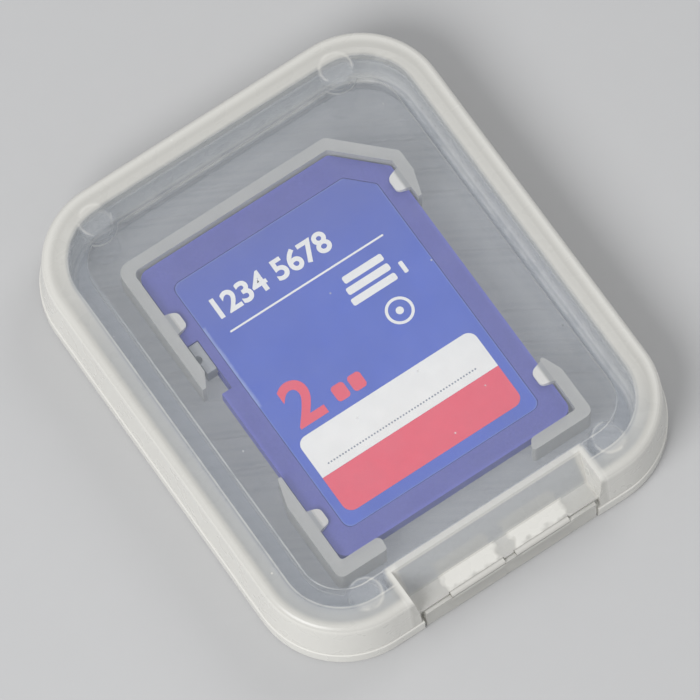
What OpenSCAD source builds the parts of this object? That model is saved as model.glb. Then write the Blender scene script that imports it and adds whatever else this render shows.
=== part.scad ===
// Clear snap case for one memory card, with the card inside.
// One moulding in three stretches: base, spine strap and lid, folded along two film lines.
// The origin is the middle of the underside. The hinge is at -Y, the free edge at +Y.

/* [Card] */
// Width of the card
card_w = 24; // [20:0.1:28]
// Length of the card
card_l = 32; // [28:0.1:38]
// Thickness of the card
card_t = 2.1; // [1.9:0.05:3]
// Leg of the card's cut corner
card_cut = 4; // [3:0.1:5]
// Radius of the card's other corners
card_corner_r = 1; // [0.5:0.1:1.6]
// Thickness of the card's lower half shell
back_t = 0.7; // [0.6:0.02:0.9]
// Step in from the card's side to its lower half shell
rail_step = 0.75; // [0.4:0.05:1.2]
// Wall left round the hollow of the card's shells
shell_wall = 1.7; // [1.4:0.1:2.2]
// Thickness of the circuit board
board_t = 0.36; // [0.25:0.01:0.45]
// Height of the chips above the board
chip_t = 0.5; // [0.3:0.02:0.65]
// Margin from the card's sides to the printed label
label_side = 1.95; // [1.6:0.05:3]
// Margin from the card's rear edge to the label
label_rear = 2.05; // [1.6:0.05:4]
// Margin from the card's leading edge to the label
label_head = 2.55; // [2:0.05:5]
// Thickness of the printed label
label_t = 0.1; // [0.05:0.01:0.2]

/* [Card contacts] */
// Number of contacts
contact_count = 9; // [5:1:9]
// Distance from the card's cut side to the middle of the first contact
contact_first_side = 2.6; // [2.4:0.05:3]
// Distance from the card's other side to the middle of the last contact
contact_last_side = 2; // [2:0.05:2.4]
// Distance between the last two contacts
contact_last_pitch = 1.9; // [1.9:0.05:2.2]
// How far the first contact stands back from the others
contact_first_back = 1.6; // [1.2:0.05:2]
// Width of a contact
contact_w = 1.5; // [1:0.05:1.6]
// Length of a contact
contact_l = 4.2; // [3:0.1:5]
// Thickness of a contact's plating
contact_t = 0.04; // [0.03:0.01:0.08]

/* [Card electronics] */
// Width of the memory chip
memory_w = 14; // [10:0.1:15]
// Length of the memory chip
memory_l = 10; // [8:0.1:11]
// Side of the controller chip
controller_w = 6; // [4:0.1:7]
// Length of a capacitor
capacitor_l = 1.6; // [1:0.1:2]
// Width of a capacitor
capacitor_w = 0.8; // [0.5:0.05:1]
// Number of capacitors
capacitor_count = 3; // [1:1:3]
// Margin from the board's edge to the parts on it
board_margin = 2; // [1:0.1:3]

/* [Write protect slider] */
// Length of the slider
slider_l = 3; // [2:0.1:3.6]
// Travel of the slider
slider_travel = 2.3; // [1.5:0.1:2.6]
// Width of the slider
slider_w = 1; // [0.8:0.05:1.3]
// Distance from the card's leading edge to the slider's slot
slider_from_head = 8; // [7:0.1:9.5]

/* [Case] */
// Space from the card's side to the outside of the case
side_space = 8.25; // [7.8:0.05:12]
// Space from the card's leading edge to the free edge of the case
free_space = 8.9; // [8.5:0.05:12]
// Space from the card's other edge to the hinge edge of the case
hinge_space = 8.2; // [8:0.05:12]
// Air between the card and the lid's panel
head_room = 1.8; // [1.5:0.05:3]
// Thickness of the base's floor
floor_t = 1.25; // [1:0.05:1.5]
// Thickness of the lid's panel
panel_t = 1.2; // [0.8:0.05:1.6]
// Radius of the case's corners in plan
corner_r = 8.3; // [7.5:0.1:9.5]
// Height of the base's outer rim
rim_h = 1.75; // [1.5:0.05:2]
// Thickness of the ring wall that stands inside the lid
ring_t = 1; // [0.8:0.05:1.3]
// Thickness of the lid's wall at its foot
lid_wall_t = 1.4; // [1:0.05:1.6]
// Inward draft of the lid's wall from foot to top
lid_draft = 0.35; // [0.1:0.05:0.6]
// Radius along the lid's top edge
lid_edge_r = 0.65; // [0.3:0.05:0.9]
// Width of the thicker border under the lid's panel
border_w = 2.9; // [2:0.1:3.4]
// Depth of that border below the panel
border_t = 0.35; // [0.2:0.05:0.6]

/* [Ejector marks] */
// Distance from the case's side to the middle of a mark
mark_side = 7.65; // [6.5:0.05:8.5]
// Distance from the case's end to the middle of a mark on the lid
mark_end_lid = 3.55; // [3.5:0.05:4.5]
// Distance from the case's end to the middle of a mark on the floor
mark_end_base = 4.25; // [4.2:0.05:5]
// Radius of a mark
mark_r = 1.5; // [1:0.05:1.6]
// Depth or height of a mark
mark_t = 0.15; // [0.05:0.01:0.2]

/* [Card fence] */
// Clearance between the fence and the card
card_gap = 0.2; // [0.1:0.01:0.4]
// Thickness of the fence
fence_t = 1.1; // [0.8:0.05:1.4]
// Height of the fence above the card
fence_over = 0.7; // [0.5:0.05:1]
// Foot of the left bracket along the card's rear edge
left_foot = 3.8; // [3:0.1:6]
// Foot of the right bracket along the card's rear edge
right_foot = 4.5; // [3:0.1:6]
// Height of the left bracket along the card's side
left_rise = 9.1; // [6:0.1:9.5]
// Height of the right bracket along the card's side
right_rise = 5.4; // [5.4:0.1:8]
// Length of the left bracket's tapered tip
left_tip = 2.6; // [1:0.1:4]
// Length of the right bracket's tapered tip
right_tip = 1.8; // [1:0.1:3]
// Reach of the head fence down the card's left side, along its inner face
head_left_inner = 11; // [8:0.1:12]
// Reach of the head fence down the card's left side, along its outer face
head_left_outer = 12.4; // [12.1:0.1:14]
// Reach of the head fence down the card's right side, along its inner face
head_right_inner = 8; // [7.6:0.1:11]
// Reach of the head fence down the card's right side, along its outer face
head_right_outer = 5.6; // [5:0.1:7.5]
// Overhang of a catch from the fence
catch_reach = 1.2; // [0.8:0.05:1.5]
// Length of a catch
catch_l = 2.2; // [1.5:0.1:2.6]
// Clearance between a catch and the card's face
catch_gap = 0.1; // [0.05:0.01:0.2]
// Distance from the card's rear edge to the rear catches
rear_catch_at = 4.1; // [3.5:0.1:4.2]
// Distance from the card's leading edge to the front catches
front_catch_at = 5.8; // [5.6:0.1:6.5]

/* [Hinge] */
// Width of the strap
strap_w = 17.6; // [14:0.1:19]
// Thickness of the strap
strap_t = 0.7; // [0.6:0.02:0.9]
// Radius of the film webs
web_r = 0.3; // [0.2:0.01:0.35]
// Length of one film web
web_l = 5.5; // [4:0.1:6.5]
// Gap between the two webs of a fold
web_split = 1.2; // [0.8:0.1:2]
// Gap from the strap's end to the lid and base
strap_gap = 0.5; // [0.3:0.05:0.8]
// Depth of the lid's recess at its ledge
ledge_d = 2.1; // [1.6:0.05:2.4]
// Thickness of the ledge
ledge_t = 0.9; // [0.7:0.05:1]
// Lean of the recess's back wall per millimetre of height
recess_lean = 0.64; // [0.4:0.02:0.8]
// Lean of the recess's end walls per millimetre of height
recess_flare = 0.15; // [0:0.01:0.2]
// Thickness of the recess's walls
recess_wall = 1; // [0.8:0.05:1.2]

/* [Snap] */
// Length of one snap ridge
ridge_l = 5; // [3:0.1:8]
// Distance from the middle to each snap ridge
ridge_at = 8; // [5:0.1:11]
// How far a ridge stands out of the ring wall
ridge_out = 0.14; // [0.08:0.01:0.15]

/* [Hidden] */
$fn = 64;

// Running clearances that the moulder holds
part_gap = 0.12;   // between base rim and lid foot
wall_gap = 0.2;    // between ring wall and lid wall
top_gap = 0.15;    // between ring wall and lid border
fold_gap = 0.06;   // between the mitred faces at a fold
fit_gap = 0.03;    // between the card's own pieces
skin_gap = 0.05;   // between the lid's wall and its border, and under the card
eps = 0.01;        // extra depth of a cut past a face

// Overall size
case_w = card_w + 2 * side_space;
case_l = card_l + free_space + hinge_space;
card_z = floor_t + skin_gap;
card_top = card_z + card_t;
panel_z = card_top + head_room;
case_h = panel_z + panel_t;
card_y = (hinge_space - free_space) / 2;
hinge_y = -case_l / 2;

// Heights and insets of the walls
lid_foot_z = rim_h + part_gap;
lid_foot_in = 0.1;
lid_in = lid_foot_in + lid_wall_t;
ring_in = lid_in + wall_gap;
border_z = panel_z - border_t;
ring_top = border_z - top_gap;

// The two folds lie at equal heights below and above the parting line
parting_z = rim_h + part_gap / 2;
fold_y = hinge_y + skin_gap + web_r;
fold_low_z = web_r + 0.1;
fold_high_z = 2 * parting_z - fold_low_z;
ledge_z = fold_high_z + web_r;
recess_half = strap_w / 2 + strap_gap;
ledge_back_y = hinge_y + ledge_d;
sill_z = ledge_z - ledge_t - 0.3;

// Heights inside the card
split_z = card_z + back_t;
board_z = split_z - fit_gap - board_t;
label_sink = label_t + 0.02;

// Plan of the card's inside: the board's half width, and its rear edge from the card's middle
board_in = shell_wall + 2 * fit_gap;
board_half = card_w / 2 - board_in;
board_rear = board_in - card_l / 2;
chip_z = board_z + board_t;
controller_y = board_rear + board_margin + memory_l + board_margin / 2;
contact_pitch = (card_w - contact_first_side - contact_last_side - contact_last_pitch) / (contact_count - 2);

// Blunt width left at the tip of a fence's leg
tip_flat = 0.35;

// The slider's tongue in the groove of the upper shell
tongue_w = 0.55;
tongue_t = 0.4;

// Points of a quarter arc about c, from angle a to angle b
function arc(c, r, a, b, n = 5) = [for (i = [0:n]) c + r * [cos(a + (b - a) * i / n), sin(a + (b - a) * i / n)]];

// A closed outline with its corners rounded: each entry of pts is [x, y, radius]
function unit(v) = v / norm(v);
function cut_len(p, a, b, r) = r / tan(acos(unit(a - p) * unit(b - p)) / 2);
function round_corner(p, a, b, r) = r <= 0 ? [p] :
    let (t = cut_len(p, a, b, r), u = unit(a - p), v = unit(b - p),
         c = p + unit(u + v) * norm([r, t]), s = p + u * t, e = p + v * t,
         a0 = atan2(s[1] - c[1], s[0] - c[0]), a1 = atan2(e[1] - c[1], e[0] - c[0]),
         turn = a1 - a0 > 180 ? a1 - a0 - 360 : a1 - a0 < -180 ? a1 - a0 + 360 : a1 - a0)
    arc(c, r, a0, a0 + turn, 6);
function rounded(pts) = [for (i = [0:len(pts) - 1])
    let (n = len(pts), p = pts[i], a = pts[(i + n - 1) % n], b = pts[(i + 1) % n])
    each round_corner([p[0], p[1]], [a[0], a[1]], [b[0], b[1]], p[2])];

// Outline of the case in plan, drawn in by inset, with true arcs at its corners
module plan(inset) {
    w = case_w - 2 * inset;
    l = case_l - 2 * inset;
    r = corner_r - inset;
    square([w - 2 * r, l], center = true);
    square([w, l - 2 * r], center = true);
    for (x = [-1, 1], y = [-1, 1])
        translate([x * (w / 2 - r), y * (l / 2 - r)]) circle(r);
}

// A wall section carried round the case's outline: section points are [distance outward from
// the corner's centre, height]
module round_the_case(section) {
    dx = case_w / 2 - corner_r;
    dy = case_l / 2 - corner_r;
    for (k = [0:3]) {
        side = k % 2 == 0 ? dx : dy;
        run = k % 2 == 0 ? dy : dx;
        rotate([0, 0, 90 * k]) {
            translate([side, 0, 0]) rotate([90, 0, 0])
                linear_extrude(height = 2 * run, center = true) polygon(section);
            translate([side, run, 0]) rotate_extrude(angle = 90) polygon(section);
        }
    }
}

// A shape drawn in the Y-Z plane, stretched along X over the given half width
module along_x(half, pts) {
    rotate([90, 0, 90]) linear_extrude(height = 2 * half, center = true) polygon(pts);
}

// The card's outline grown by g, about the card's own middle
module card_outline(g, r) {
    a = card_w / 2 + g;
    b = card_l / 2 + g;
    c = card_cut + g * (2 - sqrt(2));
    polygon(rounded([[-a, -b, r], [a, -b, r], [a, b - c, r / 2], [a - c, b, r / 2], [-a, b, r]]));
}

module plastic() { color([0.88, 0.9, 0.9]) children(); }
module card_blue() { color([0.13, 0.2, 0.56]) children(); }

// BASE

module base_tray() {
    R = corner_r;
    edge = 0.35;
    cove = 0.6;
    section = concat(
        [[R - ring_in - ring_t - 1, 0]],
        arc([R - edge, edge], edge, -90, 0, 4),
        [[R, rim_h - 0.1], [R - 0.1, rim_h], [R - ring_in, rim_h], [R - ring_in, ring_top - 0.2],
         [R - ring_in - 0.2, ring_top], [R - ring_in - ring_t + 0.1, ring_top],
         [R - ring_in - ring_t, ring_top - 0.1]],
        arc([R - ring_in - ring_t - cove, floor_t + cove], cove, 0, -90, 4),
        [[R - ring_in - ring_t - 1, floor_t]]);
    back = hinge_y + skin_gap + strap_t + 0.15;
    plastic() {
        difference() {
            union() {
                round_the_case(section);
                linear_extrude(height = floor_t) plan(ring_in + ring_t + 0.8);
            }
            // the ring wall drops to a sill behind the lid's recess
            translate([-recess_outer_half() - wall_gap, hinge_y - 1, sill_z])
                cube([2 * (recess_outer_half() + wall_gap), ring_in + ring_t + 3, case_h]);
            // pocket for the strap
            translate([-strap_w / 2 - strap_gap / 2, hinge_y - 1, -1])
                cube([strap_w + strap_gap, 1 + back - hinge_y, case_h]);
        }
        // lip that reaches to the lower fold, with its mitred end
        difference() {
            along_x(strap_w / 2 + strap_gap / 2, [
                [back + eps, 0], [fold_y + fold_gap, 0], [fold_y + fold_gap, fold_low_z],
                [back, fold_low_z + back - fold_y - fold_gap], [back + eps, fold_low_z + back - fold_y - fold_gap]]);
            web_pair(fold_low_z, web_r + skin_gap, 0.1);
        }
        for (x = [-1, 1], y = [-1, 1])
            translate([x * (case_w / 2 - mark_side), y * (case_l / 2 - mark_end_base), floor_t - eps])
                cylinder(r = mark_r, h = mark_t + eps);
    }
}

// Half width of the skin round the lid's recess, at its widest inside the case
function recess_outer_half() = recess_half + recess_wall + recess_flare * (case_h - ledge_z);

module card_fence_head() {
    plastic() translate([0, card_y, floor_t]) linear_extrude(height = card_top - floor_t + fence_over)
        difference() {
            card_outline(card_gap + fence_t, 1.1);
            card_outline(card_gap, 0.6);
            mirror([1, 0]) fence_end(head_left_inner, head_left_outer);
            fence_end(head_right_inner, head_right_outer);
        }
}

// What is cut from the head fence, so that a leg ends in a slanted tip on its longer side
module fence_end(inner, outer) {
    x = card_w / 2 + card_gap;
    a = inner > outer ? tip_flat : 0;
    b = inner > outer ? fence_t : fence_t - tip_flat;
    polygon([[0, -card_l], [x + fence_t + 1, -card_l], [x + fence_t + 1, card_l / 2 - outer],
             [x + b, card_l / 2 - outer], [x + a, card_l / 2 - inner], [0, card_l / 2 - inner]]);
}

// A bracket at a rear corner of the card: side is -1 for left, 1 for right
module card_bracket(side, foot, rise, foot_t, slant, tip) {
    i = card_gap;
    o = card_gap + fence_t;
    f = card_gap + foot_t;
    mirror([side < 0 ? 1 : 0, 0, 0])
        translate([card_w / 2, card_y - card_l / 2, floor_t])
            linear_extrude(height = card_top - floor_t + fence_over)
                polygon(rounded([[i, -i, 0.3], [i, rise, 0.12], [i + tip_flat, rise, 0.12],
                                 [o, rise - tip, 0.6], [o, -f, 0.7],
                                 [-foot - slant, -f, 0.3], [-foot, -i, 0.5]]));
}

module card_corner_left() {
    plastic() card_bracket(-1, left_foot, left_rise, fence_t + 0.3, -0.2, left_tip);
}

module card_corner_right() {
    plastic() card_bracket(1, right_foot, right_rise, fence_t, 0.7, right_tip);
}

// Catches that hold the card down: rounded noses on the inner face of the fence
module card_catches() {
    z = card_top + catch_gap;
    h = fence_over - catch_gap;
    plastic()
        for (side = [-1, 1], y = [rear_catch_at - card_l / 2, card_l / 2 - front_catch_at])
            translate([side * (card_w / 2 + card_gap), card_y + y, z])
                mirror([side < 0 ? 1 : 0, 0, 0])
                    difference() {
                        linear_extrude(height = h)
                            polygon(rounded([[0, -catch_l / 2, 0], [0, catch_l / 2, 0],
                                             [-catch_reach, catch_l / 2 - 0.3, 0.5],
                                             [-catch_reach, -catch_l / 2 + 0.4, 0.5]]));
                        // sloping lead-in on top, which lets the card snap past
                        along_y_wedge(catch_reach, h, catch_l);
                    }
}

module along_y_wedge(reach, h, l) {
    rotate([90, 0, 0]) linear_extrude(height = 2 * l, center = true)
        polygon([[-reach - eps, h * 0.45], [-reach * 0.35, h + eps], [-reach - eps, h + eps]]);
}

module snap_ridges() {
    r = 0.5;
    face = case_l / 2 - ring_in;
    plastic() for (x = [-ridge_at, ridge_at])
        difference() {
            translate([x, face - r + ridge_out, (ring_top + rim_h) / 2 + 0.4]) rotate([0, 90, 0])
                cylinder(r = r, h = ridge_l, center = true);
            translate([x - ridge_l, face - 2, 0]) cube([2 * ridge_l, 2, case_h]);
        }
}

// HINGE

// The two film webs of one fold, coaxial with it
module web_pair(z, r, extra) {
    for (side = [-1, 1])
        translate([side * (web_split + web_l) / 2, fold_y, z]) rotate([0, 90, 0])
            cylinder(r = r, h = web_l + 2 * extra, center = true);
}

module hinge_strap() {
    y0 = hinge_y + skin_gap;
    t = strap_t;
    m = t - web_r;
    plastic() difference() {
        along_x(strap_w / 2, [
            [y0, fold_low_z], [fold_y, fold_low_z], [y0 + t, fold_low_z + m],
            [y0 + t, fold_high_z - m], [fold_y, fold_high_z], [y0, fold_high_z]]);
        web_pair(fold_low_z, web_r + fit_gap, 0.05);
        web_pair(fold_high_z, web_r + fit_gap, 0.05);
    }
}

module hinge_webs_lower() {
    plastic() web_pair(fold_low_z, web_r, 0);
}

module hinge_webs_upper() {
    plastic() web_pair(fold_high_z, web_r, 0);
}

// LID

// The recess over the hinge, grown by g into the lid, with its floor at height z
module recess(g, z) {
    back0 = ledge_back_y + g * norm([1, recess_lean]);
    top = case_h + 1;
    half0 = recess_half + g;
    low = ledge_z - z;
    intersection() {
        along_x(recess_half + 4, [
            [hinge_y - 1, z], [back0 - recess_lean * low, z],
            [back0 + recess_lean * (top - ledge_z), top], [hinge_y - 1, top]]);
        translate([0, hinge_y, 0]) rotate([90, 0, 0]) linear_extrude(height = 20, center = true)
            polygon([[-half0, 0], [half0, 0], [half0, ledge_z],
                     [half0 + recess_flare * (top - ledge_z), top],
                     [-half0 - recess_flare * (top - ledge_z), top], [-half0, ledge_z]]);
    }
}

module lid_section_outer() {
    R = corner_r;
    e = lid_edge_r;
    side = R - lid_foot_in - lid_draft;
    round_the_case(concat(
        [[R - lid_in - 2, lid_foot_z], [R - lid_foot_in, lid_foot_z]],
        arc([side - e, case_h - e], e, 0, 90, 5),
        [[R - lid_in - 2, case_h]]));
    translate([0, 0, lid_foot_z]) linear_extrude(height = case_h - lid_foot_z) plan(lid_in + 1.5);
}

module lid_shell() {
    plastic() difference() {
        union() {
            difference() {
                lid_section_outer();
                translate([0, 0, lid_foot_z - 1]) linear_extrude(height = panel_z - lid_foot_z + 1) plan(lid_in);
            }
            // skin round the recess, inside the lid's outer face
            intersection() {
                lid_section_outer();
                recess(recess_wall, ledge_z - ledge_t);
            }
        }
        recess(0, ledge_z);
        // clear of the strap below the ledge
        translate([-recess_half, hinge_y - 1, lid_foot_z - 1])
            cube([2 * recess_half, 1 + lid_in + eps, ledge_z - ledge_t - lid_foot_z + 1]);
        // mitred end of the ledge
        along_x(recess_half, [
            [hinge_y - 1, ledge_z + 1], [hinge_y - 1, lid_foot_z], [fold_y + fold_gap + fold_high_z - lid_foot_z, lid_foot_z],
            [fold_y + fold_gap, fold_high_z], [fold_y + fold_gap, ledge_z + 1]]);
        web_pair(fold_high_z, web_r + skin_gap, 0.1);
    }
}

module lid_border() {
    bx = case_w / 2 - mark_side;
    by = case_l / 2 - mark_end_lid;
    plastic() difference() {
        translate([0, 0, border_z]) linear_extrude(height = border_t) difference() {
            intersection() {
                plan(lid_in + skin_gap);
                union() {
                    difference() {
                        plan(lid_in);
                        plan(lid_in + border_w);
                    }
                    for (x = [-1, 1], y = [-1, 1]) translate([x * bx, y * by]) circle(mark_r + 0.4);
                }
            }
            translate([-recess_outer_half() - skin_gap, hinge_y])
                square([2 * (recess_outer_half() + skin_gap), lid_in + border_w + 1]);
        }
        for (x = [-1, 1], y = [-1, 1])
            translate([x * bx, y * by, border_z - eps]) cylinder(r = mark_r, h = mark_t + eps);
    }
}

// CARD

// The slot of the write protect slider, on the card's left side
module slider_slot(z0, z1, depth) {
    y1 = card_l / 2 - slider_from_head;
    l = slider_l + slider_travel + 2 * skin_gap;
    translate([-card_w / 2 - 1, y1 - l, z0]) cube([depth + 1, l, z1 - z0]);
}

module card_back_shell() {
    card_blue() translate([0, card_y, 0]) difference() {
        translate([0, 0, card_z]) linear_extrude(height = back_t) card_outline(-rail_step, card_corner_r);
        translate([0, 0, board_z - fit_gap]) linear_extrude(height = card_t) card_outline(-shell_wall, 0.5);
        for (i = [0:contact_count - 1])
            contact_place(i)
                translate([-contact_w / 2 - 0.15, -contact_l / 2 - 0.4, card_z - 1])
                    cube([contact_w + 0.3, contact_l + 0.8, 2]);
        slider_slot(0, case_h, slider_w + skin_gap);
    }
}

module card_front_shell() {
    z1 = card_top;
    card_blue() translate([0, card_y, 0]) difference() {
        translate([0, 0, split_z]) linear_extrude(height = card_t - back_t) card_outline(0, card_corner_r);
        translate([0, 0, split_z - eps]) linear_extrude(height = chip_t + 2 * fit_gap) card_outline(-shell_wall - 0.3, 0.5);
        translate([0, 0, z1 - label_sink]) linear_extrude(height = 1) label_outline(0.05);
        slider_slot(0, case_h, slider_w + skin_gap);
        slider_slot(split_z + 0.05, split_z + 0.05 + tongue_t + 2 * skin_gap, slider_w + skin_gap + tongue_w);
    }
}

// The label's outline grown by g: its corner follows the card's cut corner
module label_outline(g) {
    a = card_w / 2 - label_side + g;
    rear = label_rear - card_l / 2 - g;
    head = card_l / 2 - label_head + g;
    c = max(card_cut - 0.8 * label_side - 0.1 * label_head, 0.5);
    polygon(rounded([[-a, rear, 0.8], [a, rear, 0.8], [a, head - c, 0.5], [a - c, head, 0.5], [-a, head, 0.8]]));
}

module card_label() {
    color([0.2, 0.3, 0.72]) translate([0, card_y, card_top - label_sink])
        linear_extrude(height = label_t) label_outline(0);
}

module card_board() {
    color([0.05, 0.3, 0.2]) translate([0, card_y, board_z])
        linear_extrude(height = board_t) card_outline(-board_in, 0.4);
}

// Place of contact i, counted from the cut corner: the first stands back from the others
module contact_place(i) {
    last = i == contact_count - 1;
    x = last ? contact_last_side - card_w / 2 : card_w / 2 - contact_first_side - contact_pitch * i;
    y = card_l / 2 - shell_wall - 0.9 - contact_l / 2 - (i == 0 ? contact_first_back : 0);
    translate([x, y, 0]) children();
}

module card_contacts() {
    color([0.85, 0.66, 0.28]) translate([0, card_y, board_z - contact_t])
        for (i = [0:contact_count - 1])
            contact_place(i) translate([-contact_w / 2, -contact_l / 2, 0])
                cube([i == contact_count - 1 ? contact_w * 0.8 : contact_w, contact_l, contact_t]);
}

module card_memory_chip() {
    color([0.1, 0.1, 0.1]) translate([board_margin - board_half, card_y + board_rear + board_margin, chip_z])
        cube([memory_w, memory_l, chip_t]);
}

module card_controller_chip() {
    color([0.12, 0.12, 0.12]) translate([board_margin - board_half, card_y + controller_y, chip_z])
        cube([controller_w, controller_w, chip_t]);
}

module card_capacitors() {
    x = 2 * board_margin - board_half + controller_w;
    color([0.6, 0.5, 0.4]) for (i = [0:capacitor_count - 1])
        translate([x, card_y + controller_y + 2 * capacitor_w * i, chip_z])
            cube([capacitor_l, capacitor_w, chip_t * 0.8]);
}

// A block that rides in the card's side, with a tongue in the groove of the upper shell
module card_lock_slider() {
    y1 = card_l / 2 - slider_from_head - skin_gap;
    x0 = -card_w / 2 + skin_gap;
    z0 = card_z + 0.15;
    z1 = card_top - 0.2;
    color([0.75, 0.77, 0.8]) translate([0, card_y, 0]) {
        difference() {
            translate([x0, y1 - slider_l, z0]) cube([slider_w - skin_gap, slider_l, z1 - z0]);
            // finger notch across the outer face
            translate([x0, y1 - slider_l / 2, z0 - 1]) cylinder(r = 0.4, h = 3);
        }
        translate([x0 + slider_w - skin_gap - eps, y1 - slider_l, split_z + 0.05 + skin_gap])
            cube([tongue_w - skin_gap, slider_l, tongue_t]);
    }
}

base_tray();
card_fence_head();
card_corner_left();
card_corner_right();
card_catches();
snap_ridges();
hinge_strap();
hinge_webs_lower();
hinge_webs_upper();
lid_shell();
lid_border();
card_back_shell();
card_front_shell();
card_label();
card_board();
card_contacts();
card_memory_chip();
card_controller_chip();
card_capacitors();
card_lock_slider();
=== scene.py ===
# %% [markdown]
# # A clear snap case with one memory card
# The case is one moulding of clear polypropylene: a base, a spine strap and a lid, folded along two
# film lines. The solids come in as a fixed frame. This lesson gives them their finishes, prints the
# card's label, and lights the result as a small studio shot.

# %% Load the frame
import math
import bmesh
import bpy
from mathutils import Matrix, Vector


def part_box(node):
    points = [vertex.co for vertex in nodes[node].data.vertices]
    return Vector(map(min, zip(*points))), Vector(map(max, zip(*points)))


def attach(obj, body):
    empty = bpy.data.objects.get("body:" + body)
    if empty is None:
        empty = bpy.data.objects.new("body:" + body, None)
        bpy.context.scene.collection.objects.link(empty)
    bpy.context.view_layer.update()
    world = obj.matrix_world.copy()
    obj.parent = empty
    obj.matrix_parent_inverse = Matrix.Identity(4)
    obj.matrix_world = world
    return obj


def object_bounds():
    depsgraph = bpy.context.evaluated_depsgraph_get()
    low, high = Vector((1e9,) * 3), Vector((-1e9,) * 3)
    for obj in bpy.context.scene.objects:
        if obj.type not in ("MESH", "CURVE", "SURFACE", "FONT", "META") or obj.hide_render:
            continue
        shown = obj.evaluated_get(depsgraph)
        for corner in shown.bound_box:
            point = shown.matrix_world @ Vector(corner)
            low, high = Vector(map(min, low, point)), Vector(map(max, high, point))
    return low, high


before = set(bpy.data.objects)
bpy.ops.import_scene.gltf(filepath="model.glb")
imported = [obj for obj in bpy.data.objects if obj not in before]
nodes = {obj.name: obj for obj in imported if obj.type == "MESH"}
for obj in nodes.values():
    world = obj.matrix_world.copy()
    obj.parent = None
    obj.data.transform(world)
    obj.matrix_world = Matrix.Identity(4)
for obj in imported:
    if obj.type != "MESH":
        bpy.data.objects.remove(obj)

cad_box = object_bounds()
print("size in mm:", [round(1000 * (b - a), 2) for a, b in zip(*cad_box)])

# %% [markdown]
# The measures below are taken from the frame, so the looks follow the solids. The frame is in metres,
# and a millimetre gets a name, because this object's details are a few millimetres or less. The
# finishes need the case's half sizes in millimetres, and its corner radius, which no box can tell.

# %% Measures of the case and the card
MM = 0.001
HALF_WIDTH = cad_box[1].x / MM
HALF_LENGTH = cad_box[1].y / MM
CORNER_R = 8.3
lid_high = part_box("lid_shell")[1]
card_low, card_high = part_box("card_front_shell")
label_low, label_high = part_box("card_label")
for name, high in (("lid", lid_high), ("card", card_high), ("label", label_high)):
    print(name, "top at", round(high.z / MM, 2), "mm")

# %% [markdown]
# Materials are node trees, and most of their lines would only add a node and join its sockets. Two
# helpers do that. `put` adds a node and fills its inputs by name: a value is set, and a socket is
# linked. `socket_group` makes a node group with named inputs and outputs.

# %% Helpers for node trees
def put(tree, kind, settings=None, **inputs):
    node = tree.nodes.new(kind)
    for name, value in (settings or {}).items():
        setattr(node, name, value)
    for name, value in inputs.items():
        fill(tree, node.inputs[name.replace("_", " ")], value)
    return node


def fill(tree, socket, value):
    if isinstance(value, bpy.types.NodeSocket):
        tree.links.new(value, socket)
    else:
        socket.default_value = value


def math_node(tree, operation, *values, clamp=False):
    node = tree.nodes.new("ShaderNodeMath")
    node.operation = operation
    node.use_clamp = clamp
    for socket, value in zip(node.inputs, values):
        fill(tree, socket, value)
    return node.outputs[0]


def socket_group(name, inputs, outputs):
    tree = bpy.data.node_groups.new(name, "ShaderNodeTree")
    for label, value in inputs.items():
        item = tree.interface.new_socket(label, in_out="INPUT", socket_type="NodeSocketFloat")
        item.default_value = value
    for label in outputs:
        tree.interface.new_socket(label, in_out="OUTPUT", socket_type="NodeSocketFloat")
    return tree, tree.nodes.new("NodeGroupInput").outputs, tree.nodes.new("NodeGroupOutput").inputs


def use(tree, group, **inputs):
    node = tree.nodes.new("ShaderNodeGroup")
    node.node_tree = group
    for name, value in inputs.items():
        fill(tree, node.inputs[name.replace("_", " ")], value)
    return node.outputs


print("helpers ready")

# %% [markdown]
# ## Measures inside a finish
# Thin polypropylene is clear enough to read through, and thick stretches go milky, because light
# scatters on its way. Seen from above, a side wall is 4 mm deep and looks white, and the panel is
# 1 mm thick and looks smoky. A finish has to know where it is for that. This group measures how many
# millimetres a point lies inside a rounded rectangle, such as the case's outline or the card's.

# %% A group for the depth inside an outline
def outline_depth_group():
    inputs = {"Half Width": 20.0, "Half Length": 25.0, "Radius": 8.0, "Middle Y": 0.0}
    tree, given, out = socket_group("outline_depth", inputs, ["Depth"])
    parts = millimetres(tree)
    along = math_node(tree, "SUBTRACT", parts["Y"], given["Middle Y"])
    over = []
    for place, half in ((parts["X"], "Half Width"), (along, "Half Length")):
        straight = math_node(tree, "SUBTRACT", given[half], given["Radius"])
        over.append(math_node(tree, "SUBTRACT", math_node(tree, "ABSOLUTE", place), straight))
    corner = [math_node(tree, "MAXIMUM", value, 0.0) for value in over]
    squares = [math_node(tree, "MULTIPLY", value, value) for value in corner]
    reach = math_node(tree, "SQRT", math_node(tree, "ADD", *squares))
    inside = math_node(tree, "MINIMUM", math_node(tree, "MAXIMUM", *over), 0.0)
    distance = math_node(tree, "SUBTRACT", math_node(tree, "ADD", reach, inside), given["Radius"])
    fill(tree, out["Depth"], math_node(tree, "MULTIPLY", distance, -1.0))
    return tree


def millimetres(tree):
    place = put(tree, "ShaderNodeTexCoord").outputs["Object"]
    scaled = put(tree, "ShaderNodeVectorMath", {"operation": "SCALE"}, Vector=place, Scale=1 / MM)
    return put(tree, "ShaderNodeSeparateXYZ", Vector=scaled.outputs[0]).outputs


OUTLINE_DEPTH = outline_depth_group()
print("group inputs:", [s.name for s in OUTLINE_DEPTH.interface.items_tree if s.in_out == "INPUT"])

# %% [markdown]
# Four round marks show where pins pushed the moulding out of its tool. They are mirrored about both
# middle lines, so one group finds all four from the absolute place. It gives the disc and its rim.

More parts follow.
